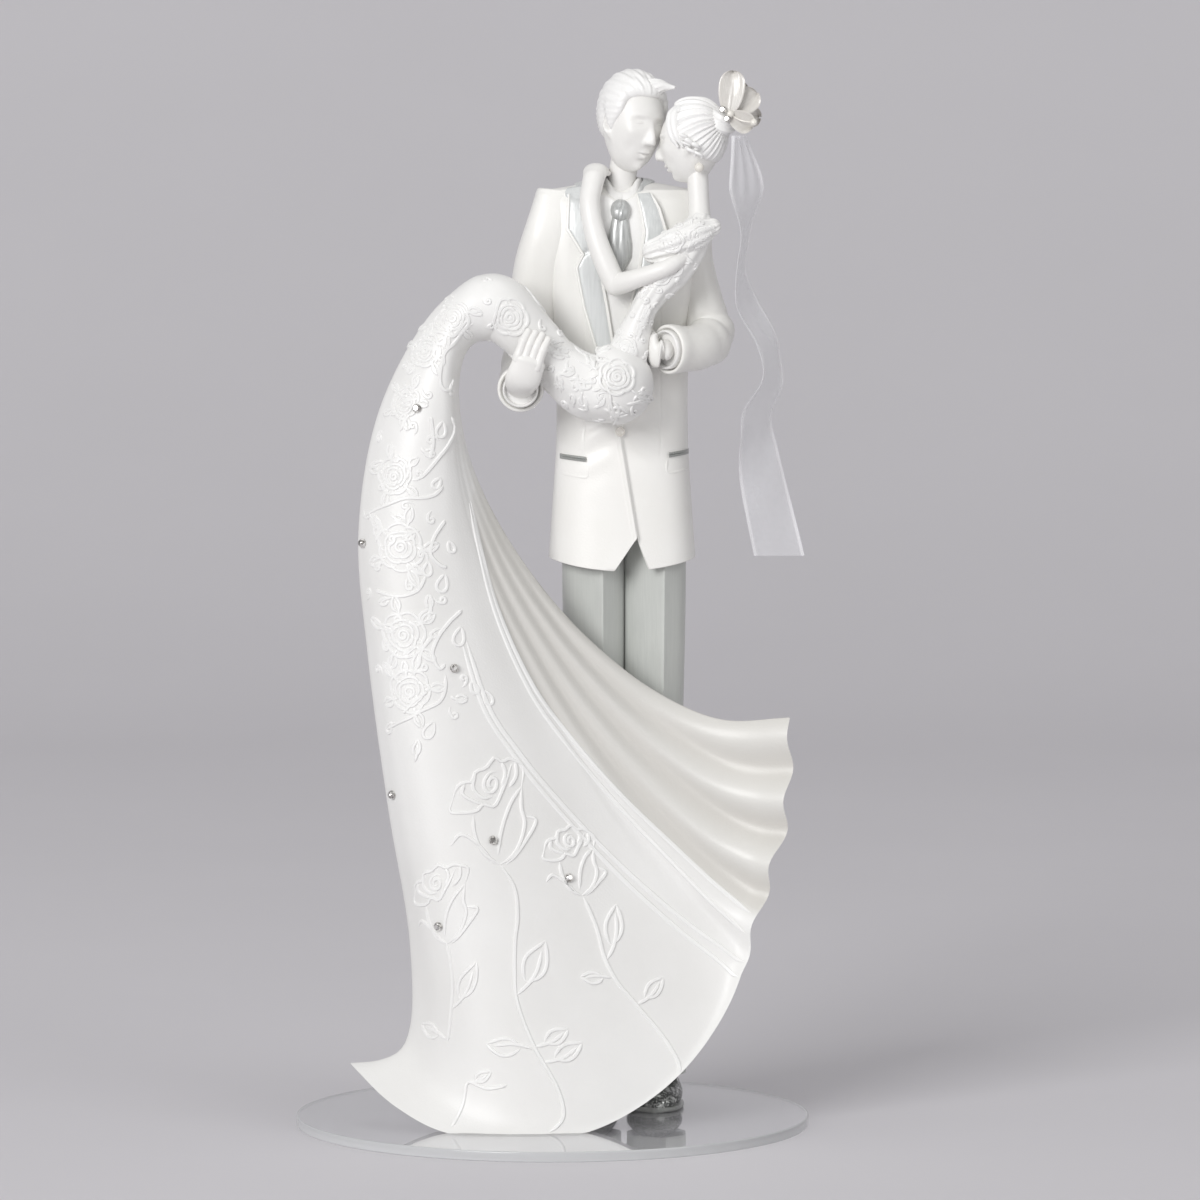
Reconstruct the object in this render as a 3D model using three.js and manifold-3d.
// Wedding cake topper: a groom in a white dinner jacket carries his bride, and her long gown sweeps
// down from her knees to a clear round base plate. A sheer ribbon hangs from the flower in her hair.
// Millimetres, +Z up. The origin is the centre of the plate's underside, and the couple face -Y.
import * as THREE from "three";
import { mergeVertices } from "three/addons/utils/BufferGeometryUtils.js";
import Module from "manifold-3d";

const wasm = await Module();
wasm.setup();

// Driving dimensions

// Gap that glued pieces keep, and how finely round pieces are faceted
const GAP = 0.3;
const FINE = 16;
const COARSE = 8;

// Clear base plate, and where the groom stands on it
const PLATE_DIAMETER = 101.6;
const PLATE_THICKNESS = 2;
const PLATE_BEVEL = 0.3;
const GROOM_X = 13.8;
const GROOM_Y = 15;

// Steel pins that tie the castings together, and the room that their glue takes
const PIN_DIAMETER = 1.6;
const PIN_LENGTH = 7.5;
const PIN_GLUE = 0.15;
const KNEE_PIN_DIAMETER = 3;
const KNEE_PIN_LENGTH = 12;

// Groom below the waist
const SHOE_LENGTH = 24;
const SHOE_WIDTH = 11.5;
const SHOE_HEIGHT = 7.4;
const STANCE = 13;
const TROUSER_HEM = 6.2;
const TROUSER_WIDTH = 13.4;
const TROUSER_RISE = 0.6;
const TROUSER_DEPTH = 14.4;
const CREASE = 0.5;
const CREASE_SHARPNESS = 12;

// Groom above the waist: heights are above the plate
const JACKET_HEM = 107.5;
const SHOULDER_HEIGHT = 182.4;
const JACKET_WIDTH = 26.2;
const JACKET_DEPTH = 18.4;
const JACKET_TUCK = 8;
const VENT_HEIGHT = 6.5;
const VENT_WIDTH = 7;
const VENT_CENTRE = 2;
const LAPEL_THICKNESS = 1;
const SHIRT_THICKNESS = 0.5;
const TIE_THICKNESS = 1;
const WELT_THICKNESS = 0.5;
const BUTTON_DIAMETER = 1.8;
const BUTTON_HEIGHT = 0.8;
const BUTTON_X = -0.4;
const BUTTON_DROP = 47.4;
const WELT_DROP = 52.5;
const WELT_HEIGHT = 1.2;
const SLEEVE_RADIUS = 4.6;
const CUFF_LENGTH = 1.6;
const CUFF_STEP = 0.7;
const FINGER_RADIUS = 1;
const FINGER_SPACING = 1.75;
const PALM_WIDTH = 3.3;
const PALM_DEPTH = 1.6;
const NECK_RADIUS = 2.8;
const COLLAR_BAND = 1;
const COLLAR_HEIGHT = 1.8;
const COLLAR_RISE = 0.4;

// Heads: half sizes of the bare skull, where it sits, its turn and tilt, and how far the hair stands off
const GROOM_HEAD = { wide: 5.8, deep: 6.6, high: 9.6, nose: 1 };
const GROOM_HEAD_RISE = 13.3;
const GROOM_YAW = 0.62;
const GROOM_TILT = 0.1;
const BRIDE_HEAD = { wide: 5.4, deep: 6.2, high: 8, nose: 0.6 };
const BRIDE_HEAD_X = 14.2;
const BRIDE_HEAD_Y = -8;
const BRIDE_HEAD_RISE = 9.6;
const BRIDE_YAW = -1.7;
const BRIDE_TILT = -0.08;
const BRIDE_NECK_RADIUS = 2.1;
const JAW_TAPER = 0.12;
const CHIN_FORWARD = 0.1;
const NOSE_LEVEL = -0.12;
const NOSE_HEIGHT = 0.14;
const NOSE_NARROW = 24;
const HAIR_THICKNESS = 1.2;
const QUIFF_LENGTH = 5.8;
const QUIFF_RADIUS = 2.4;
const BUN_RADIUS = 3;
const EARRING_RADIUS = 0.8;
const EARRING_LEVEL = -0.6;
const EARRING_TURN = 0.42;

// Gown: knee, hip, waist and bust, the hem, and the soft folds that fan out to the right
const KNEE_X = -27.3;
const KNEE_Y = -18;
const KNEE_DROP = 22.7;
const KNEE_RADIUS = 6.5;
const HIP_X = -1.8;
const HIP_DROP = 37.8;
const LAP_Y = -16.6;
const HIP_RADIUS = 8;
const THIGH_RADIUS = 6;
const WAIST_RADIUS = 4;
const BUST_RADIUS = 4.9;
const HEM_THICKNESS = 3.2;
const FOLD_COUNT = 4;
const FOLD_DEPTH = 1.1;
const FOLD_START = 0.66;
const CRYSTAL_DIAMETER = 2.2;
const CRYSTAL_HEIGHT = 1;
const SHOULDER_BAND = 0.8;
const ELBOW_X = -2.6;
const ELBOW_Y = -13.6;
const ELBOW_DROP = 18.2;
const UPPER_ARM_RADIUS = 2.8;
const WRIST_RADIUS = 1.7;

// Flower and ribbon in the bride's hair
const PETAL_THICKNESS = 0.5;
const PETAL_CUP = 1.1;
const PEARL_RADIUS = 0.7;
const FLOWER_CRYSTAL = 0.8;
const RIBBON_WIDTH = 10;
const RIBBON_THICKNESS = 0.5;

// Materials

const finish = (color, roughness, metalness = 0) =>
  new THREE.MeshStandardMaterial({ color, roughness, metalness });
const WHITE_RESIN = finish(0xf4f3ef, 0.45);
const IVORY_RESIN = finish(0xf1efe6, 0.4);
const SKIN_RESIN = finish(0xf2f0ea, 0.5);
const SILVER_SATIN = finish(0xc9cdcd, 0.3, 0.2);
const GREY_CLOTH = finish(0xb4bab6, 0.45);
const GREY_GLITTER = finish(0x8f9690, 0.5, 0.3);
const STEEL = finish(0xb8bcc0, 0.35, 0.9);
const PEARL = finish(0xf3eee2, 0.25);
const PETAL = finish(0xf5f1e4, 0.4);
const ORGANZA = finish(0xf4f4f6, 0.6);
const CRYSTAL = finish(0xdfe3e6, 0.05, 0.1);
const ACRYLIC = new THREE.MeshStandardMaterial({
  color: 0xe8ecee,
  roughness: 0.05,
  transparent: true,
  opacity: 0.3,
});

// Geometry and solids

const vec = (x, y, z) => new THREE.Vector3(x, y, z);
const lerp = THREE.MathUtils.lerp;
const clamp = THREE.MathUtils.clamp;
const TURN = 2 * Math.PI;

// A closed geometry from points and triangles, merged, without collapsed faces, and facing outwards.
function closed(points, triangles) {
  const raw = new THREE.BufferGeometry().setFromPoints(points).setIndex(triangles);
  const merged = mergeVertices(raw, 1e-3);
  const index = merged.index.array;
  const kept = [];
  for (let i = 0; i < index.length; i += 3) {
    const [a, b, c] = [index[i], index[i + 1], index[i + 2]];
    if (a !== b && b !== c && c !== a) kept.push(a, b, c);
  }
  const at = (i) => new THREE.Vector3().fromBufferAttribute(merged.attributes.position, i);
  let volume = 0;
  for (let i = 0; i < kept.length; i += 3)
    volume += at(kept[i]).dot(at(kept[i + 1]).cross(at(kept[i + 2])));
  return merged.setIndex(volume < 0 ? kept.reverse() : kept);
}

// A tube through rings of points, closed by a fan at each end.
function tube(rings, first, last) {
  const around = rings[0].length;
  const points = [...rings.flat(), first, last];
  const triangles = [];
  for (let i = 0; i < around; i++) {
    const next = (i + 1) % around;
    const end = (rings.length - 1) * around;
    triangles.push(points.length - 2, next, i, points.length - 1, end + i, end + next);
    for (let j = 0; j < end; j += around)
      triangles.push(j + i, j + next, j + around + i, j + next, j + around + next, j + around + i);
  }
  return closed(points, triangles);
}

// A slab between two skins: place(p, q, outer) gives a point of the inner skin at 0 and the outer at 1.
function slab(place, across, along) {
  const points = [];
  const triangles = [];
  const row = across + 1;
  const layer = row * (along + 1);
  for (const side of [0, 1])
    for (let j = 0; j <= along; j++)
      for (let i = 0; i <= across; i++) points.push(place(i / across, j / along, side));
  for (let j = 0; j < along; j++)
    for (let i = 0; i < across; i++) {
      const a = j * row + i;
      const b = a + layer;
      triangles.push(a, a + 1, a + row, a + 1, a + row + 1, a + row);
      triangles.push(b, b + row, b + 1, b + 1, b + row, b + row + 1);
    }
  const rim = [];
  for (let i = 0; i < across; i++) rim.push(i);
  for (let j = 0; j < along; j++) rim.push(j * row + across);
  for (let i = across; i > 0; i--) rim.push(along * row + i);
  for (let j = along; j > 0; j--) rim.push(j * row);
  rim.forEach((a, k) => {
    const b = rim[(k + 1) % rim.length];
    triangles.push(a, a + layer, b, b, a + layer, b + layer);
  });
  return closed(points, triangles);
}

// A smooth value through evenly spaced stations.
function along(values, t) {
  const place = clamp(t, 0, 1) * (values.length - 1);
  const i = Math.min(Math.floor(place), values.length - 2);
  const at = (k) => values[clamp(k, 0, values.length - 1)];
  const w = place - i;
  const [a, b, c, d] = [at(i - 1), at(i), at(i + 1), at(i + 2)];
  return b + 0.5 * w * (c - a + w * (2 * a - 5 * b + 4 * c - d + w * (3 * (b - c) + d - a)));
}

// A limb: an oval carried along a smooth path, with round or flat ends. Its depth lies along facing.
function limb(shape, grow = 0) {
  const { path, wide, deep = wide, facing = vec(0, 1, 0) } = shape;
  const { sides = COARSE, steps = 10, roundStart = true, roundEnd = true } = shape;
  const curve = new THREE.CatmullRomCurve3(path.map((p) => vec(...p)), false, "centripetal");
  const ring = (t, share, shift) => {
    const ahead = curve.getTangent(t);
    const side = new THREE.Vector3().crossVectors(ahead, facing).normalize();
    const front = new THREE.Vector3().crossVectors(side, ahead).normalize();
    const middle = curve.getPoint(t).addScaledVector(ahead, shift);
    const a = (along(wide, t) + grow) * share;
    const b = (along(deep, t) + grow) * share;
    return Array.from({ length: sides }, (_, i) =>
      middle.clone()
        .addScaledVector(side, a * Math.cos((i / sides) * TURN))
        .addScaledVector(front, b * Math.sin((i / sides) * TURN)));
  };
  const rings = [];
  const capSteps = 2;
  const reach = (t, round) => (round ? Math.min(along(wide, t), along(deep, t)) + grow : grow);
  const startReach = reach(0, roundStart);
  const endReach = reach(1, roundEnd);
  for (let k = 1; roundStart && k <= capSteps; k++) {
    const angle = (k / (capSteps + 1)) * (Math.PI / 2);
    rings.push(ring(0, Math.sin(angle), -startReach * Math.cos(angle)));
  }
  for (let j = 0; j <= steps; j++) {
    const atEnd = j === steps && !roundEnd ? grow : 0;
    rings.push(ring(j / steps, 1, j === 0 && !roundStart ? -grow : atEnd));
  }
  for (let k = capSteps; roundEnd && k > 0; k--) {
    const angle = (k / (capSteps + 1)) * (Math.PI / 2);
    rings.push(ring(1, Math.sin(angle), endReach * Math.cos(angle)));
  }
  const first = curve.getPoint(0).addScaledVector(curve.getTangent(0), -startReach);
  const last = curve.getPoint(1).addScaledVector(curve.getTangent(1), endReach);
  return tube(rings, first, last);
}

// A closed geometry as a solid that can be joined and cut.
function solid(geometry) {
  const bare = new THREE.BufferGeometry()
    .setAttribute("position", geometry.getAttribute("position"))
    .setIndex(geometry.index);
  const merged = mergeVertices(bare, 1e-3);
  return new wasm.Manifold(new wasm.Mesh({
    numProp: 3,
    vertProperties: merged.attributes.position.array,
    triVerts: new Uint32Array(merged.index.array),
  }));
}
const join = (first, ...others) => others.reduce((all, one) => all.add(one), first);
const cut = (first, ...tools) => tools.reduce((left, tool) => left.subtract(tool), first);

// The largest piece of a cut solid, without the crumbs that a cut can leave.
function largest(cutSolid) {
  return cutSolid.decompose().reduce((best, one) => (one.volume() > best.volume() ? one : best));
}

const pieces = new THREE.Group();
const figures = new THREE.Group();
figures.position.set(GROOM_X, GROOM_Y, PLATE_THICKNESS);
pieces.add(figures);

// A named mesh of a solid or a geometry, added to a group.
function piece(name, shape, material, group = figures) {
  let geometry = shape;
  if (!shape.isBufferGeometry) {
    const made = shape.getMesh();
    geometry = new THREE.BufferGeometry()
      .setAttribute("position", new THREE.BufferAttribute(made.vertProperties.slice(), 3))
      .setIndex(new THREE.BufferAttribute(made.triVerts.slice(), 1));
  }
  geometry.computeVertexNormals();
  const mesh = new THREE.Mesh(geometry, material);
  mesh.name = name;
  group.add(mesh);
  return mesh;
}

// A straight rod from a point, along a direction.
function rod(from, direction, length, radius, sides = COARSE) {
  const turn = new THREE.Quaternion().setFromUnitVectors(vec(0, 1, 0), direction.clone().normalize());
  const middle = from.clone().addScaledVector(direction.clone().normalize(), length / 2);
  return new THREE.CylinderGeometry(radius, radius, length, sides)
    .applyMatrix4(new THREE.Matrix4().compose(middle, turn, vec(1, 1, 1)));
}

// Pins and the holes that they are glued into

const pinAt = (from, direction) => rod(from, direction, PIN_LENGTH, PIN_DIAMETER / 2);
const holeAt = (from, direction) =>
  solid(rod(
    from.clone().addScaledVector(direction, -PIN_GLUE),
    direction,
    PIN_LENGTH + 2 * PIN_GLUE,
    PIN_DIAMETER / 2 + PIN_GLUE,
  ));

// What the groom wears above the waist, and what he carries, hangs from the height of his shoulders.
const below = (drop) => SHOULDER_HEIGHT - drop;
const KNEE_Z = below(KNEE_DROP);
const HIP_Z = below(HIP_DROP);
const ELBOW = [ELBOW_X, ELBOW_Y, below(ELBOW_DROP)];

const UP = vec(0, 0, 1);

// Base plate

function basePlate() {
  const radius = PLATE_DIAMETER / 2;
  const profile = [
    [0, 0],
    [radius - PLATE_BEVEL, 0],
    [radius, PLATE_BEVEL],
    [radius, PLATE_THICKNESS - PLATE_BEVEL],
    [radius - PLATE_BEVEL, PLATE_THICKNESS],
    [0, PLATE_THICKNESS],
  ].map(([x, y]) => new THREE.Vector2(x, y));
  const disc = new THREE.LatheGeometry(profile, 56)
    .rotateX(Math.PI / 2)
    .translate(-GROOM_X, -GROOM_Y, -PLATE_THICKNESS);
  return solid(disc);
}
piece("base_plate", basePlate(), ACRYLIC);

// Groom's trousers and shoes

function trouserLeg(side, grow = 0) {
  const top = JACKET_HEM + JACKET_TUCK;
  const calf = lerp(TROUSER_HEM, JACKET_HEM, 1 / 3);
  const thigh = lerp(TROUSER_HEM, JACKET_HEM, 2 / 3);
  const heights = [TROUSER_HEM, calf, thigh, JACKET_HEM, top];
  const ends = [-grow, 0, 0, 0, grow];
  const hip = TROUSER_WIDTH / 2 - TROUSER_RISE;
  const spread = [STANCE / 2, STANCE / 2, lerp(STANCE / 2, hip, 0.4), hip, hip];
  const taper = [0.92, 0.92, 0.96, 1, 1];
  const rings = heights.map((z, k) =>
    Array.from({ length: FINE }, (_, i) => {
      const turn = (i / FINE) * TURN;
      const pressed = CREASE * Math.abs(Math.sin(turn)) ** CREASE_SHARPNESS;
      const x = side * spread[k] + ((TROUSER_WIDTH / 2) * taper[k] + grow) * Math.cos(turn);
      const y = ((TROUSER_DEPTH / 2) * taper[k] + grow + pressed) * Math.sin(turn);
      return vec(x, y, z + ends[k]);
    }));
  const middle = (k, z) => vec(side * spread[k], 0, z);
  return solid(tube(rings, middle(0, TROUSER_HEM - grow), middle(heights.length - 1, top + grow)));
}
const trousers = (grow = 0) => trouserLeg(1, grow).add(trouserLeg(-1, grow));

function shoe(side, grow = 0) {
  const heel = SHOE_LENGTH * 0.38;
  const stations = [1, 0.72, 0.4, 0.12, -0.02];
  const width = [0.72, 0.86, 1, 0.8, 0.34];
  const height = [1, 1, 0.72, 0.52, 0.3];
  const rings = stations.map((share, k) =>
    Array.from({ length: FINE }, (_, i) => {
      const turn = (i / FINE) * TURN;
      const y = heel - SHOE_LENGTH * (1 - share);
      const x = side * (STANCE / 2) + ((SHOE_WIDTH / 2) * width[k] + grow) * Math.cos(turn);
      const rise = (SHOE_HEIGHT / 2) * height[k];
      return vec(x, y, Math.max(0, rise + (rise * 1.15 + grow) * Math.sin(turn)));
    }));
  const centre = (k) => vec(side * (STANCE / 2), rings[k][0].y, (SHOE_HEIGHT / 2) * height[k]);
  return solid(tube(rings, centre(0), centre(stations.length - 1)));
}

const legs = trousers();
piece("trousers", legs, GREY_CLOTH);
for (const [name, side] of [["left", 1], ["right", -1]]) {
  piece(`shoe_${name}`, largest(cut(shoe(side), trousers(GAP))), GREY_GLITTER);
}

// Groom's jacket

// Half width and half depth of the jacket, as shares, from hem to collar.
const JACKET_RISE = [0, 0.17, 0.36, 0.57, 0.74, 0.89, 0.97, 1];
const JACKET_ACROSS = [1.13, 1.06, 1, 1.015, 1.07, 1.15, 1.22, 1.21];
const JACKET_ACROSS_TOP = 0.42;
const JACKET_FRONT = [1.13, 1.06, 1, 1, 1.02, 0.97, 0.82, 0.66];
const JACKET_FRONT_TOP = 0.42;
const JACKET_SQUARE = 2.5;

// The jacket's half sizes at a height, by straight stretches between its stations.
function jacketHalf(z) {
  const share = clamp((z - JACKET_HEM) / (SHOULDER_HEIGHT - JACKET_HEM), 0, 1);
  let k = 0;
  while (k < JACKET_RISE.length - 2 && share > JACKET_RISE[k + 1]) k++;
  const w = (share - JACKET_RISE[k]) / (JACKET_RISE[k + 1] - JACKET_RISE[k]);
  return {
    wide: (JACKET_WIDTH / 2) * lerp(JACKET_ACROSS[k], JACKET_ACROSS[k + 1], w),
    deep: (JACKET_DEPTH / 2) * lerp(JACKET_FRONT[k], JACKET_FRONT[k + 1], w),
  };
}

// A point of the jacket at a turn round it and a height, lifted off its surface.
function onJacket(turn, z, lift) {
  const half = jacketHalf(z);
  const bulge = (value) => Math.sign(value) * Math.abs(value) ** (2 / JACKET_SQUARE);
  return vec((half.wide + lift) * bulge(Math.cos(turn)), (half.deep + lift) * bulge(Math.sin(turn)), z);
}

// The same, for a point of the jacket's front that is so far to one side.
function onJacketFront(x, z, lift) {
  const half = jacketHalf(z);
  const share = clamp(Math.abs(x) / half.wide, 0, 0.98);
  return vec(x, -half.deep * (1 - share ** JACKET_SQUARE) ** (1 / JACKET_SQUARE) - lift, z);
}

function jacketBody(grow = 0) {
  const heights = JACKET_RISE.map((share) => lerp(JACKET_HEM, SHOULDER_HEIGHT, share));
  const sides = 28;
  const rings = heights.map((z, k) =>
    Array.from({ length: sides }, (_, i) => {
      const point = onJacket((i / sides) * TURN, z, grow);
      return point.setZ(k === 0 ? z - grow : z);
    }));
  const top = SHOULDER_HEIGHT + COLLAR_RISE;
  rings.push(rings[0].map((_, i) => {
    const turn = (i / sides) * TURN;
    return vec(
      ((JACKET_WIDTH / 2) * JACKET_ACROSS_TOP + grow) * Math.cos(turn),
      ((JACKET_DEPTH / 2) * JACKET_FRONT_TOP + grow) * Math.sin(turn),
      top + grow,
    );
  }));
  return solid(tube(rings, vec(0, 0, JACKET_HEM - grow), vec(0, 0, top + grow)));
}

// The cutaway between the two fronts, an upside-down V below the button.
function jacketVent() {
  const outline = new THREE.Shape([
    new THREE.Vector2(VENT_CENTRE - VENT_WIDTH / 2, JACKET_HEM - GAP),
    new THREE.Vector2(VENT_CENTRE + VENT_WIDTH / 2, JACKET_HEM - GAP),
    new THREE.Vector2(VENT_CENTRE + 1, JACKET_HEM + VENT_HEIGHT),
  ]);
  const wedge = new THREE.ExtrudeGeometry(outline, { depth: JACKET_DEPTH / 2, bevelEnabled: false });
  return solid(wedge.rotateX(Math.PI / 2).translate(0, -TROUSER_DEPTH / 4, 0));
}

// Groom's head, neck and hair

// A head stands in its own frame, with its face towards -Y, and is then turned and set in place.
// A point of it lies at a level from -1 at the chin to 1 at the crown, and a turn round it.
function onHead(size, level, turn, grow) {
  const round = Math.sqrt(1 - level * level);
  const girth = round * (1 + JAW_TAPER * level);
  const chin = CHIN_FORWARD * size.deep * (1 - level) * round;
  return vec(
    (size.wide * girth + grow) * Math.cos(turn),
    (size.deep * girth + grow) * Math.sin(turn) - chin,
    (size.high + grow) * level,
  );
}
function skull(size, grow = 0, nose = 0) {
  const levels = 12;
  const ring = (k) => {
    const level = -1 + (2 * k) / levels;
    const tip = nose * Math.exp(-(((level - NOSE_LEVEL) / NOSE_HEIGHT) ** 2));
    return Array.from({ length: FINE }, (_, i) => {
      const turn = (i / FINE) * TURN;
      const point = onHead(size, level, turn, grow);
      point.y -= tip * Math.max(0, -Math.sin(turn)) ** NOSE_NARROW;
      return point;
    });
  };
  const rings = Array.from({ length: levels - 1 }, (_, k) => ring(k + 1));
  return tube(rings, vec(0, 0, -size.high - grow), vec(0, 0, size.high + grow));
}

const setHead = (centre, yaw, tilt) =>
  new THREE.Matrix4().compose(
    vec(...centre),
    new THREE.Quaternion().setFromEuler(new THREE.Euler(0, tilt, yaw, "ZYX")),
    vec(1, 1, 1),
  );

const GROOM_HEAD_CENTRE = [1.7, -3, SHOULDER_HEIGHT + GROOM_HEAD_RISE];
const groomPose = setHead(GROOM_HEAD_CENTRE, GROOM_YAW, GROOM_TILT);
const groomNeckPath = [
  [-0.3, -1.4, SHOULDER_HEIGHT - 3],
  [0.1, -1.8, SHOULDER_HEIGHT + 3.5],
  [1.2, -2.4, SHOULDER_HEIGHT + 9],
];
const groomNeck = (grow = 0) =>
  solid(limb({
    path: groomNeckPath,
    wide: groomNeckPath.map(() => NECK_RADIUS),
    roundStart: false,
    steps: 4,
  }, grow));
const groomSkull = (grow = 0) => solid(skull(GROOM_HEAD, grow, GROOM_HEAD.nose).applyMatrix4(groomPose));
const groomNeckPin = vec(0.1, -1.7, SHOULDER_HEIGHT - 3 - PIN_LENGTH / 2);
const groomHead = (grow = 0) => join(groomSkull(grow), groomNeck(grow));

piece("groom_neck_pin", pinAt(groomNeckPin, UP), STEEL);
piece("groom_head", cut(groomHead(), holeAt(groomNeckPin, UP)), SKIN_RESIN);

// Hair is a shell round the skull, cut off below a line that slopes from the fringe to the nape.
function hairShell(size, pose, fringe, nape) {
  const shell = solid(skull(size, HAIR_THICKNESS + GAP).applyMatrix4(pose));
  const slope = Math.atan2((fringe - nape) * size.high, 2 * size.deep);
  const below = new THREE.BoxGeometry(4 * size.wide, 6 * size.deep, 4 * size.high)
    .translate(0, 0, -2 * size.high)
    .rotateX(-slope)
    .translate(0, 0, (size.high * (fringe + nape)) / 2)
    .applyMatrix4(pose);
  return cut(shell, solid(below));
}
const quiffRoot = vec(0, -GROOM_HEAD.deep * 0.55, GROOM_HEAD.high * 0.7).applyMatrix4(groomPose);
const quiff = solid(limb({
  path: [
    quiffRoot.toArray(),
    [quiffRoot.x + QUIFF_LENGTH * 0.5, quiffRoot.y - 0.8, quiffRoot.z + 0.7],
    [quiffRoot.x + QUIFF_LENGTH, quiffRoot.y - 1.4, quiffRoot.z + 0.5],
  ],
  wide: [0.84, 0.42, 0.14].map((share) => QUIFF_RADIUS * share),
  steps: 5,
}));
const groomHair = (grow = 0) =>
  cut(
    join(hairShell(GROOM_HEAD, groomPose, 0.66, -0.36), quiff),
    groomSkull(GAP + grow),
    groomNeck(GAP + grow),
  );
piece("groom_hair", largest(groomHair()), WHITE_RESIN);

// Sleeves, cuffs and hands

const SLEEVES = {
  right: {
    path: [
      [-14.2, 0, SHOULDER_HEIGHT - 5.6],
      [-17, 0, below(15.4)],
      [-17.8, 0, below(26.4)],
      [-19.4, -1.6, below(34.6)],
      [-20, -8, below(38)],
      [-20.1, -18.6, below(38.6)],
    ],
    share: [0.95, 1, 1, 1.02, 0.98, 1.02],
    facing: vec(1, 0, 0),
  },
  left: {
    path: [
      [12.4, 0, SHOULDER_HEIGHT - 5],
      [13.6, 0, below(13.9)],
      [16.8, -2, below(22.9)],
      [18.2, -5.5, below(28.4)],
      [15.2, -11.3, below(30.6)],
      [10.6, -15.6, below(30.8)],
    ],
    share: [0.92, 0.93, 0.97, 1, 0.97, 1.02],
    facing: vec(0.6, 0.8, 0),
  },
};
const sleeve = (name, grow = 0) =>
  solid(limb({
    path: SLEEVES[name].path,
    wide: SLEEVES[name].share.map((share) => SLEEVE_RADIUS * share),
    facing: SLEEVES[name].facing,
    steps: 18,
    roundEnd: false,
  }, grow));

// Where a sleeve ends, and the way it points there.
function wrist(name) {
  const curve = new THREE.CatmullRomCurve3(SLEEVES[name].path.map((p) => vec(...p)), false, "centripetal");
  return { end: curve.getPoint(1), ahead: curve.getTangent(1) };
}
function cuff(name, grow = 0) {
  const { end, ahead } = wrist(name);
  const from = end.clone().addScaledVector(ahead, GAP - grow);
  return solid(rod(from, ahead, CUFF_LENGTH + 2 * grow, SLEEVE_RADIUS - CUFF_STEP + grow, FINE));
}

// A hand: a flat palm that leaves the cuff, and four fingers side by side.
function hand(name, palm, fingers, grow = 0) {
  const { end, ahead } = wrist(name);
  const root = end.clone().addScaledVector(ahead, CUFF_LENGTH + 2 * GAP);
  const spread = fingers.spread;
  const palmSolid = solid(limb({
    path: [root.toArray(), ...palm],
    wide: [0.8, 1.03, 0.97].map((share) => PALM_WIDTH * share),
    deep: [1.12, 1, 0.82].map((share) => PALM_DEPTH * share),
    facing: fingers.facing,
    roundStart: false,
    steps: 6,
  }, grow));
  const made = [-1.5, -0.5, 0.5, 1.5].map((k) =>
    solid(limb({
      path: fingers.path.map((p) => vec(...p).addScaledVector(spread, k * FINGER_SPACING).toArray()),
      wide: [1.05, 1, 0.8].map((share) => FINGER_RADIUS * share),
      sides: 6,
      steps: 3,
      facing: fingers.facing,
    }, grow)));
  return join(palmSolid, ...made);
}
const rightHand = (grow = 0) =>
  hand(
    "right",
    [[-19.6, -24.6, below(36.8)], [-18.2, -26, below(33)]],
    {
      path: [[-18.2, -26, below(33.4)], [-16.9, -25.9, below(29.8)], [-15.6, -25, below(26.8)]],
      spread: vec(0.9, 0.02, -0.42),
      facing: vec(0, 1, 0.3),
    },
    grow,
  );
const leftHand = (grow = 0) =>
  hand(
    "left",
    [[8, -16.6, below(31.2)], [6.6, -14.4, below(31)]],
    {
      path: [[6.8, -14.6, below(31)], [6.4, -12.4, below(30.4)], [5.6, -10.9, below(29.6)]],
      spread: vec(0, -0.1, 1),
      facing: vec(1, 0, 0),
    },
    grow,
  );

// Bride's lap, bodice, arm and head

const lap = (grow = 0) =>
  solid(limb({
    path: [
      [KNEE_X + GAP, KNEE_Y, KNEE_Z],
      [KNEE_X + 2.8, KNEE_Y, KNEE_Z],
      [-18, KNEE_Y + 0.4, below(27.8)],
      [-12, LAP_Y - 0.6, below(33.1)],
      [HIP_X - 4.2, LAP_Y - 0.2, HIP_Z + 0.8],
      [HIP_X, LAP_Y, HIP_Z],
    ],
    wide: [KNEE_RADIUS, KNEE_RADIUS, THIGH_RADIUS, THIGH_RADIUS, 0.9 * HIP_RADIUS, HIP_RADIUS],
    sides: FINE,
    steps: 14,
    roundStart: false,
  }, grow));
const bodice = (grow = 0) =>
  solid(limb({
    path: [
      [HIP_X + 1.6, LAP_Y + 0.3, HIP_Z + 1.4],
      [2.2, -15.8, below(32)],
      [3.9, -15.5, below(28.4)],
      [7.2, -15, below(21.9)],
      [10.4, -14.6, below(15.9)],
      [13.7, -13.8, below(10.4)],
      [15.4, -12.8, below(6.4)],
    ],
    wide: [
      ...[1.25, 1.15, 1, 1.1].map((share) => WAIST_RADIUS * share),
      ...[1, 0.9, 0.53].map((share) => BUST_RADIUS * share),
    ],
    sides: FINE,
    steps: 14,
  }, grow));
const upperArm = (grow = 0) =>
  solid(limb({
    path: [[16, -16, below(8.8)], [7.5, -16.2, below(14)], ELBOW],
    wide: [1.14, 1, 0.93].map((share) => UPPER_ARM_RADIUS * share),
    steps: 8,
  }, grow));
const forearm = (grow = 0) =>
  solid(limb({
    path: [ELBOW, [-5.7, -12.4, below(9.4)], [-6.5, -10.6, below(2.2)], [-5.8, -7.8, SHOULDER_HEIGHT + 2.4]],
    wide: [1.47, 1.3, 1.12, 1].map((share) => WRIST_RADIUS * share),
    facing: vec(1, 0, 0),
    steps: 8,
  }, grow));
const brideArm = (grow = 0) => join(upperArm(grow), forearm(grow));
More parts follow.
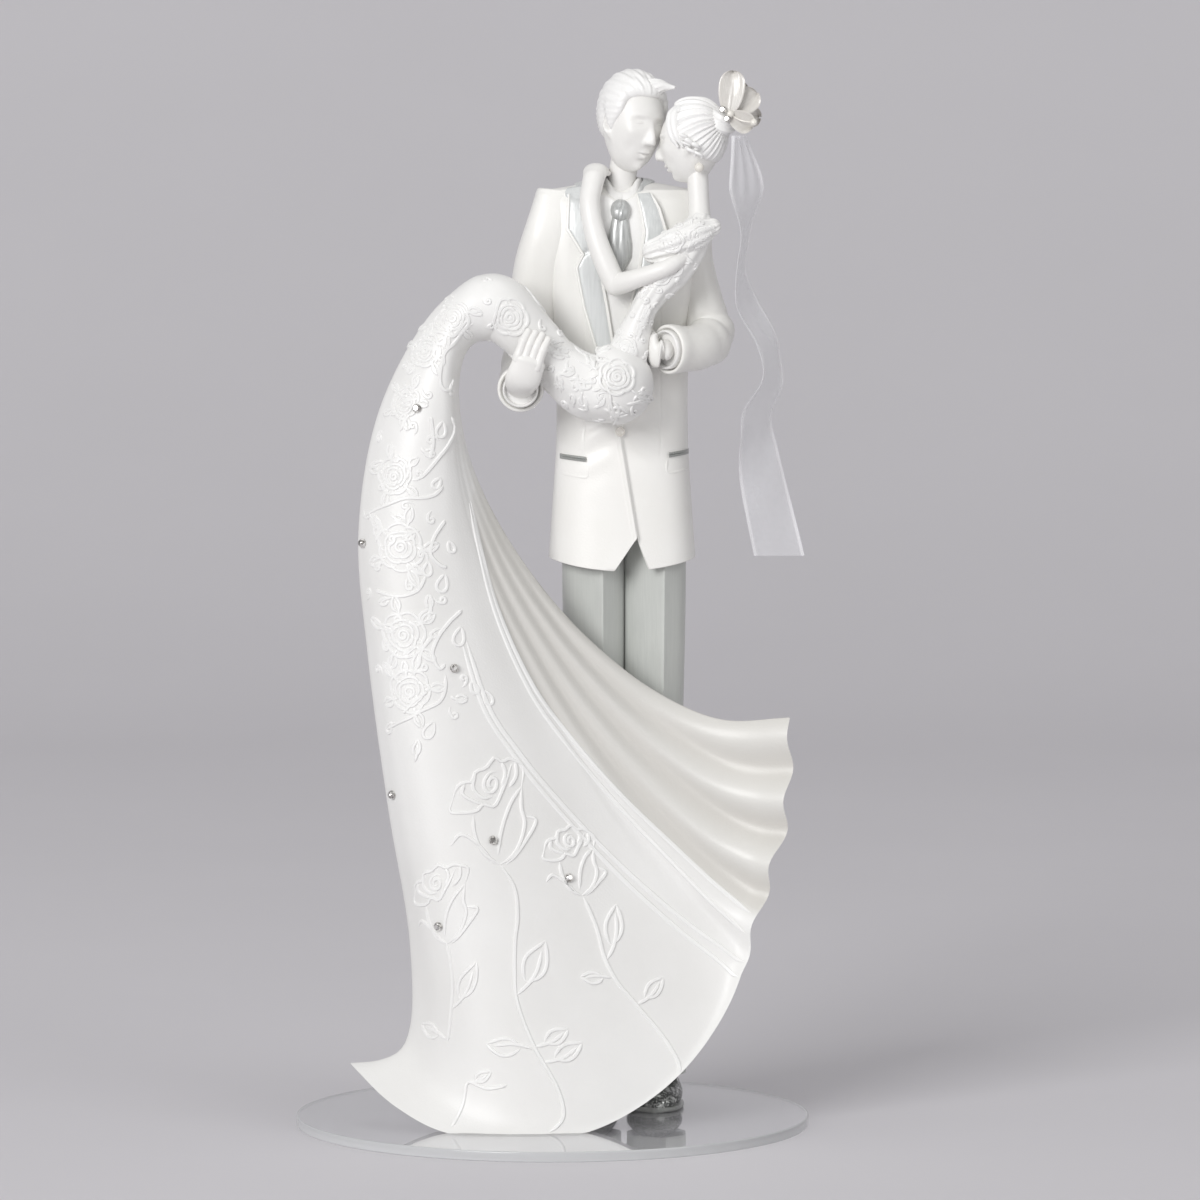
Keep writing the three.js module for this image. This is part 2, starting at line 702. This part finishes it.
const brideHand = (grow = 0) =>
  solid(limb({
    path: [
      [-5.5, -7, SHOULDER_HEIGHT + 3.4],
      [-5, -4, SHOULDER_HEIGHT + 4.4],
      [-4.6, -0.4, SHOULDER_HEIGHT + 3.8],
      [-4.2, 2.8, SHOULDER_HEIGHT + 2.6],
    ],
    wide: [1.6, 2, 1.9, 1.2],
    deep: [1.3, 1.1, 0.9, 0.7],
    facing: vec(0, 0, 1),
    steps: 8,
  }, grow));

const bridePose = setHead(
  [BRIDE_HEAD_X, BRIDE_HEAD_Y, SHOULDER_HEIGHT + BRIDE_HEAD_RISE],
  BRIDE_YAW,
  BRIDE_TILT,
);
const brideNeckPath = [[15.3, -12.9, below(7.4)], [15.1, -11.2, below(2.4)], [14.8, -9.2, below(-4.6)]];
const brideNeck = (grow = 0) =>
  solid(limb({
    path: brideNeckPath,
    wide: [1.1, 1, 1].map((share) => BRIDE_NECK_RADIUS * share),
    roundStart: false,
    steps: 5,
  }, grow));
const brideSkull = (grow = 0) => solid(skull(BRIDE_HEAD, grow, BRIDE_HEAD.nose).applyMatrix4(bridePose));
const brideHead = (grow = 0) => join(brideSkull(grow), brideNeck(grow));
const NECK_LEAN = vec(-0.1, 0.36, 1).normalize();
const brideNeckPin = vec(...brideNeckPath[0]).addScaledVector(NECK_LEAN, -PIN_LENGTH / 2);
const bunCentre = vec(BRIDE_HEAD.wide * 0.3, BRIDE_HEAD.deep * 0.9, BRIDE_HEAD.high * 0.5)
  .applyMatrix4(bridePose);
const bun = (grow = 0) =>
  solid(new THREE.SphereGeometry(BUN_RADIUS + grow, COARSE, 8).translate(...bunCentre.toArray()));
const brideHair = (grow = 0) =>
  cut(
    join(hairShell(BRIDE_HEAD, bridePose, 0.7, -0.5), bun(grow)),
    brideSkull(GAP + grow),
    brideNeck(GAP + grow),
  );

// Cuts that seat the pieces on each other, from the groom outwards

const layers = LAPEL_THICKNESS + 2 * GAP;
const kneePin = vec(KNEE_X - KNEE_PIN_LENGTH / 2, KNEE_Y, KNEE_Z);
const kneeHole = solid(rod(
  kneePin.clone().setX(kneePin.x - PIN_GLUE),
  vec(1, 0, 0),
  KNEE_PIN_LENGTH + 2 * PIN_GLUE,
  KNEE_PIN_DIAMETER / 2 + PIN_GLUE,
));
piece("knee_pin", rod(kneePin, vec(1, 0, 0), KNEE_PIN_LENGTH, KNEE_PIN_DIAMETER / 2), STEEL);
piece("gown_lap", largest(cut(lap(), jacketBody(GAP), kneeHole)), WHITE_RESIN);
piece(
  "gown_bodice",
  largest(cut(bodice(), jacketBody(layers), lap(GAP), brideNeck(GAP), holeAt(brideNeckPin, NECK_LEAN))),
  WHITE_RESIN,
);
piece("bride_neck_pin", pinAt(brideNeckPin, NECK_LEAN), STEEL);
piece(
  "bride_head",
  largest(cut(
    brideHead(),
    groomHead(GAP),
    groomHair(GAP),
    jacketBody(layers),
    holeAt(brideNeckPin, NECK_LEAN),
  )),
  SKIN_RESIN,
);
piece(
  "bride_hair",
  largest(cut(brideHair(), groomHead(GAP), groomHair(GAP))),
  WHITE_RESIN,
);
piece(
  "bride_arm_left",
  largest(cut(brideArm(), jacketBody(layers + TIE_THICKNESS), bodice(GAP), brideNeck(GAP))),
  SKIN_RESIN,
);
piece(
  "bride_hand_left",
  largest(cut(brideHand(), brideArm(GAP), jacketBody(GAP), groomNeck(GAP + 1.4))),
  SKIN_RESIN,
);

// The jacket holds the trousers in its skirt and the neck in its collar.
piece(
  "jacket",
  largest(cut(
    jacketBody(),
    trousers(GAP),
    groomNeck(GAP),
    jacketVent(),
    holeAt(groomNeckPin, UP),
  )),
  IVORY_RESIN,
);
for (const name of ["left", "right"]) {
  piece(`sleeve_${name}`, largest(cut(sleeve(name), jacketBody(GAP), lap(GAP), bodice(GAP))), IVORY_RESIN);
  piece(`cuff_${name}`, largest(cut(cuff(name), lap(GAP), bodice(GAP))), WHITE_RESIN);
}
piece("groom_hand_right", largest(cut(rightHand(), lap(GAP), cuff("right", GAP))), SKIN_RESIN);
piece(
  "groom_hand_left",
  largest(cut(leftHand(), lap(GAP), bodice(GAP), jacketBody(GAP), cuff("left", GAP))),
  SKIN_RESIN,
);

// Lapels, shirt, tie, pockets and button lie on the jacket's front

const LAPEL_TOP = SHOULDER_HEIGHT - 0.6;
const FRONT_X = -0.8;

// A band on the jacket's front between two edges, each a list of [x, height].
function frontBand(inner, outer, from, thickness, steps) {
  const edge = (points, q) => [along(points.map((p) => p[0]), q), along(points.map((p) => p[1]), q)];
  return slab((p, q, side) => {
    const [xa, za] = edge(inner, q);
    const [xb, zb] = edge(outer, q);
    return onJacketFront(lerp(xa, xb, p), lerp(za, zb, p), from + side * thickness);
  }, 4, steps);
}
const lapelInner = [
  [-4.9, LAPEL_TOP],
  [-4.4, below(8.4)],
  [-3.2, below(16.4)],
  [-1.8, below(24.4)],
  [-0.6, below(31.4)],
];
const lapelOuter = [
  [-9.6, LAPEL_TOP],
  [-10, below(8.4)],
  [-8, below(14.4)],
  [-6.6, below(22.4)],
  [-3.4, below(31.4)],
];
for (const [name, side] of [["right", 1], ["left", -1]]) {
  const place = (points) => points.map(([x, z]) => [FRONT_X + side * x, z]);
  piece(
    `lapel_${name}`,
    solid(frontBand(place(lapelInner), place(lapelOuter), GAP, LAPEL_THICKNESS, 10)),
    SILVER_SATIN,
  );
}
const shirtEdge = (side) => lapelInner.slice(0, 4).map(([x, z]) => [FRONT_X + side * (x + GAP + 0.2), z]);
piece(
  "shirt_front",
  largest(cut(solid(frontBand(shirtEdge(1), shirtEdge(-1), GAP, SHIRT_THICKNESS, 8)), groomNeck(GAP))),
  WHITE_RESIN,
);
const tieHalf = [
  [-1.5, LAPEL_TOP - 2],
  [-1.2, LAPEL_TOP - 4.6],
  [-2.2, LAPEL_TOP - 9],
  [-2.2, LAPEL_TOP - 11.4],
  [-0.4, LAPEL_TOP - 15],
];
const tieEdge = (side) => tieHalf.map(([x, z]) => [FRONT_X + 0.3 + side * x, z]);
piece(
  "tie",
  solid(frontBand(tieEdge(1), tieEdge(-1), SHIRT_THICKNESS + 2 * GAP, TIE_THICKNESS, 8)),
  SILVER_SATIN,
);

const collarBore = NECK_RADIUS + GAP;
const collarRing = new THREE.LatheGeometry([
  new THREE.Vector2(collarBore, 0),
  new THREE.Vector2(collarBore + COLLAR_BAND, 0),
  new THREE.Vector2(collarBore + COLLAR_BAND * 0.6, COLLAR_HEIGHT),
  new THREE.Vector2(collarBore, COLLAR_HEIGHT),
  new THREE.Vector2(collarBore, 0),
], FINE).rotateX(Math.PI / 2).translate(0, groomNeckPath[1][1], SHOULDER_HEIGHT + COLLAR_RISE + GAP);
piece(
  "shirt_collar",
  largest(cut(solid(collarRing), groomHead(GAP), brideHand(GAP), brideArm(GAP), jacketBody(GAP))),
  WHITE_RESIN,
);

for (const [name, side, from, to] of [["left", 1, 0.62, 1.18], ["right", -1, 0.48, 1.06]]) {
  const welt = slab((p, q, outer) => {
    const turn = -Math.PI / 2 + side * lerp(from, to, p);
    const z = below(WELT_DROP) + WELT_HEIGHT * (q - 0.5) + 0.4 * side + 0.5 * p;
    return onJacket(turn, z, GAP + outer * WELT_THICKNESS);
  }, 5, 1);
  piece(`pocket_welt_${name}`, welt, GREY_CLOTH);
}
const buttonSeat = onJacketFront(BUTTON_X, below(BUTTON_DROP), GAP);
piece("jacket_button", rod(buttonSeat, vec(0, -1, 0), BUTTON_HEIGHT, BUTTON_DIAMETER / 2), PEARL);

// Gown skirt

// The skirt hangs between two edges that both start at the knee: one runs down the left side and
// one runs out to the right. The hem joins their ends, and the front swells between them. Heights
// are shares of the knee's height, so the skirt reaches from any knee down to the plate.
const SKIRT_LEFT = [
  [KNEE_X, KNEE_Y, KNEE_Z + KNEE_RADIUS],
  [-32.4, -18.2, 1.027 * KNEE_Z],
  [-38.7, -18.8, 0.984 * KNEE_Z],
  [-47.8, -20, 0.874 * KNEE_Z],
  [-51.8, -22, 0.726 * KNEE_Z],
  [-50, -24, 0.576 * KNEE_Z],
  [-46, -26, 0.388 * KNEE_Z],
  [-41.8, -27, 0.225 * KNEE_Z],
  [-41.7, -27, 0.119 * KNEE_Z],
  [-43.7, -27, 0.089 * KNEE_Z],
  [-47.6, -27, 0.077 * KNEE_Z],
  [-53.5, -27, 0.073 * KNEE_Z],
];
const SKIRT_RIGHT = [
  [KNEE_X, KNEE_Y, KNEE_Z - KNEE_RADIUS],
  [-30.6, -18, 0.946 * KNEE_Z],
  [-32.1, -18, 0.899 * KNEE_Z],
  [-30.2, -17.6, 0.82 * KNEE_Z],
  [-25, -16.6, 0.743 * KNEE_Z],
  [-16.6, -15, 0.661 * KNEE_Z],
  [-6.4, -14, 0.589 * KNEE_Z],
  [6.4, -14, 0.526 * KNEE_Z],
  [19.4, -16.8, 0.492 * KNEE_Z],
  [32.9, -22, 0.497 * KNEE_Z],
];
const SKIRT_HEM = [
  [-53.5, -27, 0.073 * KNEE_Z],
  [-44.6, -35.8, 0.029 * KNEE_Z],
  [-34, -41, 0],
  [-20.6, -42.4, 0],
  [-7.4, -41, 0],
  [9, -35.4, 0.054 * KNEE_Z],
  [20.6, -29.4, 0.144 * KNEE_Z],
  [27, -26, 0.263 * KNEE_Z],
  [32.2, -24, 0.382 * KNEE_Z],
  [32.9, -22, 0.497 * KNEE_Z],
];
const smooth = (points) => new THREE.CatmullRomCurve3(points.map((p) => vec(...p)), false, "centripetal");
const leftEdge = smooth(SKIRT_LEFT);
const rightEdge = smooth(SKIRT_RIGHT);
const hemEdge = smooth(SKIRT_HEM);

// A point of the skirt: s runs from knee to hem, t from the left edge to the right one.
function onSkirt(s, t, front) {
  const left = leftEdge.getPointAt(s);
  const right = rightEdge.getPointAt(s);
  const swing = Math.PI * t;
  const knee = vec(
    0,
    (front ? -1 : 1) * KNEE_RADIUS * Math.sin(swing),
    KNEE_RADIUS * (Math.cos(swing) - (1 - 2 * t)),
  );
  const hem = hemEdge.getPointAt(t).sub(leftEdge.getPointAt(1).lerp(rightEdge.getPointAt(1), t));
  const thick = HEM_THICKNESS * Math.min(1, t / 0.1, (1 - t) / 0.1);
  if (!front) hem.y += thick;
  const fan = clamp((t - FOLD_START) / (1 - FOLD_START), 0, 1);
  const fold = FOLD_DEPTH * s * s * Math.sin(fan * Math.PI * 2 * FOLD_COUNT) * Math.sin(fan * Math.PI) ** 0.4;
  const point = left.lerp(right, t).addScaledVector(knee, 1 - s).addScaledVector(hem, s);
  point.y += fold;
  point.x += 0.9 * fold * s ** 4;
  point.z = Math.max(0, point.z);
  return point;
}
// Half of the columns lie in the fan, where the folds are.
const column = (p) => (p < 0.5 ? lerp(0, FOLD_START, 2 * p) : lerp(FOLD_START, 1, 2 * p - 1));
const skirtSolid = cut(solid(slab((p, q, side) => onSkirt(q, column(p), side === 1), 32, 16)), lap(GAP));
piece("gown_skirt", largest(cut(skirtSolid, kneeHole)), WHITE_RESIN);

// Lace band round the bride's upper arm

const armBand = solid(limb({
  path: [[17.4, -15.8, below(7.8)], [13.4, -16.1, below(10.5)], [9.8, -16.2, below(12.7)]],
  wide: [3.2, 3.1, 2.9].map((radius) => radius + GAP + SHOULDER_BAND),
  sides: FINE,
  steps: 5,
  roundStart: false,
  roundEnd: false,
}));
piece(
  "gown_shoulder_band",
  largest(cut(armBand, upperArm(GAP), bodice(GAP), brideNeck(GAP), jacketBody(layers), sleeve("left", GAP))),
  WHITE_RESIN,
);

// Crystals

// A cut crystal: a flat back, a girdle and a bevelled top, its axis along +Y.
const crystalProfile = (radius, height) => [
  new THREE.Vector2(0, 0),
  new THREE.Vector2(radius, 0.01),
  new THREE.Vector2(radius, height * 0.35),
  new THREE.Vector2(radius * 0.55, height),
  new THREE.Vector2(0, height),
];
function crystal(name, seat, normal, scale = 1) {
  const made = new THREE.LatheGeometry(
    crystalProfile((CRYSTAL_DIAMETER / 2) * scale, CRYSTAL_HEIGHT * scale),
    8,
  );
  const gem = piece(name, solid(made), CRYSTAL);
  gem.quaternion.setFromUnitVectors(vec(0, 1, 0), normal);
  gem.position.copy(seat).addScaledVector(normal, GAP);
  return gem;
}

// Seats on the skirt as shares of its length and its width.
const GOWN_CRYSTALS = [
  [0.16, 0.26],
  [0.345, 0.04],
  [0.425, 0.365],
  [0.625, 0.045],
  [0.615, 0.325],
  [0.675, 0.47],
  [0.74, 0.13],
];
GOWN_CRYSTALS.forEach(([s, t], k) => {
  const step = 0.01;
  const seat = onSkirt(s, t, true);
  const down = onSkirt(s + step, t, true).sub(seat);
  const over = onSkirt(s, t + step, true).sub(seat);
  const normal = new THREE.Vector3().crossVectors(down, over).normalize();
  if (normal.y > 0) normal.negate();
  crystal(`gown_crystal_${k + 1}`, seat, normal);
});

// Flower, ribbon and jewels in the bride's hair

const FLOWER_SEAT = bunCentre.clone().add(vec(BUN_RADIUS * 0.45, -BUN_RADIUS - 2 * GAP, BUN_RADIUS * 0.5));
const flower = new THREE.Group();
flower.position.copy(FLOWER_SEAT);
figures.add(flower);

// Petals fan out from the seat: direction in the front view, backward lean, length and width.
const PETALS = [
  { angle: 1.46, lean: 0.1, length: 8.8, width: 5.2, back: 0, root: 0.24 },
  { angle: 0.62, lean: 0.16, length: 8, width: 5.8, back: 1, root: 0.24 },
  { angle: -0.46, lean: 0.05, length: 6, width: 4.6, back: 0.1, root: 0.24 },
  { angle: 1.2, lean: 0.4, length: 7.6, width: 4.6, back: 1.8, root: 0.42 },
  { angle: -0.1, lean: 0.4, length: 7, width: 4.4, back: 2.4, root: 0.46 },
];
PETALS.forEach(({ angle, lean, length, width, back, root }, k) => {
  const made = slab((p, q, side) => {
    const out = lerp(root, 1, q);
    const half = (width / 2) * Math.sqrt(Math.sin(Math.PI * Math.min(0.97, out ** 0.8)));
    const across = 2 * p - 1;
    const cup = PETAL_CUP * (across * across * out - 0.6 * out * out);
    return vec(length * out, -cup + side * PETAL_THICKNESS, across * half);
  }, 4, 5);
  const petal = piece(`flower_petal_${k + 1}`, made, PETAL, flower);
  petal.rotation.set(0, -angle, 0, "XYZ");
  petal.rotateZ(lean);
  petal.position.set(0, back, 0);
});

// Two crystals sit in the throat of the flower, between the roots of its petals.
const FLOWER_FRONT = vec(-0.25, -1, 0.1).normalize();
[[-1.1, 0.9], [-0.2, -0.9]].forEach(([x, z], k) => {
  const seat = FLOWER_SEAT.clone().add(vec(x, 0, z));
  crystal(`flower_crystal_${k + 1}`, seat, FLOWER_FRONT, FLOWER_CRYSTAL);
});
const pearlSeat = FLOWER_SEAT.clone().add(vec(4.9, -PETAL_CUP - GAP, -1.6));
piece("flower_pearl", new THREE.SphereGeometry(PEARL_RADIUS, COARSE, 6), PEARL).position.copy(pearlSeat);
const earSeat = onHead(BRIDE_HEAD, EARRING_LEVEL, EARRING_TURN, EARRING_RADIUS + GAP).applyMatrix4(bridePose);
piece("earring", new THREE.SphereGeometry(EARRING_RADIUS, COARSE, 6), PEARL).position.copy(earSeat);

// The ribbon hangs in soft waves and twists as it falls.
const RIBBON_PATH = [
  [22.9, -12.2, below(-11)],
  [24.4, -12, below(-2.2)],
  [24.2, -13, below(6.6)],
  [23.6, -12, below(14.4)],
  [24.7, -10.6, below(22.4)],
  [28.9, -11.6, below(30.2)],
  [29.4, -13, below(37)],
  [26.7, -12.6, below(44)],
  [26.8, -11.4, below(50.4)],
  [28.6, -11.4, below(60.8)],
  [31, -12.4, below(71.8)],
];
const RIBBON_TWIST = [0.9, 0.75, 1.3, 1.42, 1.05, 1.12, 1.12, 0.92, 0.74, 0.3, 0.12];
const ribbonCurve = smooth(RIBBON_PATH);
const ribbon = slab((p, q, side) => {
  const middle = ribbonCurve.getPoint(q);
  const twist = along(RIBBON_TWIST, q);
  const across = vec(Math.cos(twist), Math.sin(twist), 0);
  const face = vec(-Math.sin(twist), Math.cos(twist), 0);
  const gather = 0.45 + 0.55 * Math.min(1, q / 0.12);
  return middle
    .addScaledVector(across, (p - 0.5) * RIBBON_WIDTH * gather)
    .addScaledVector(face, (side - 0.5) * RIBBON_THICKNESS);
}, 3, 36);
piece("ribbon", ribbon, ORGANZA);

export default pieces;
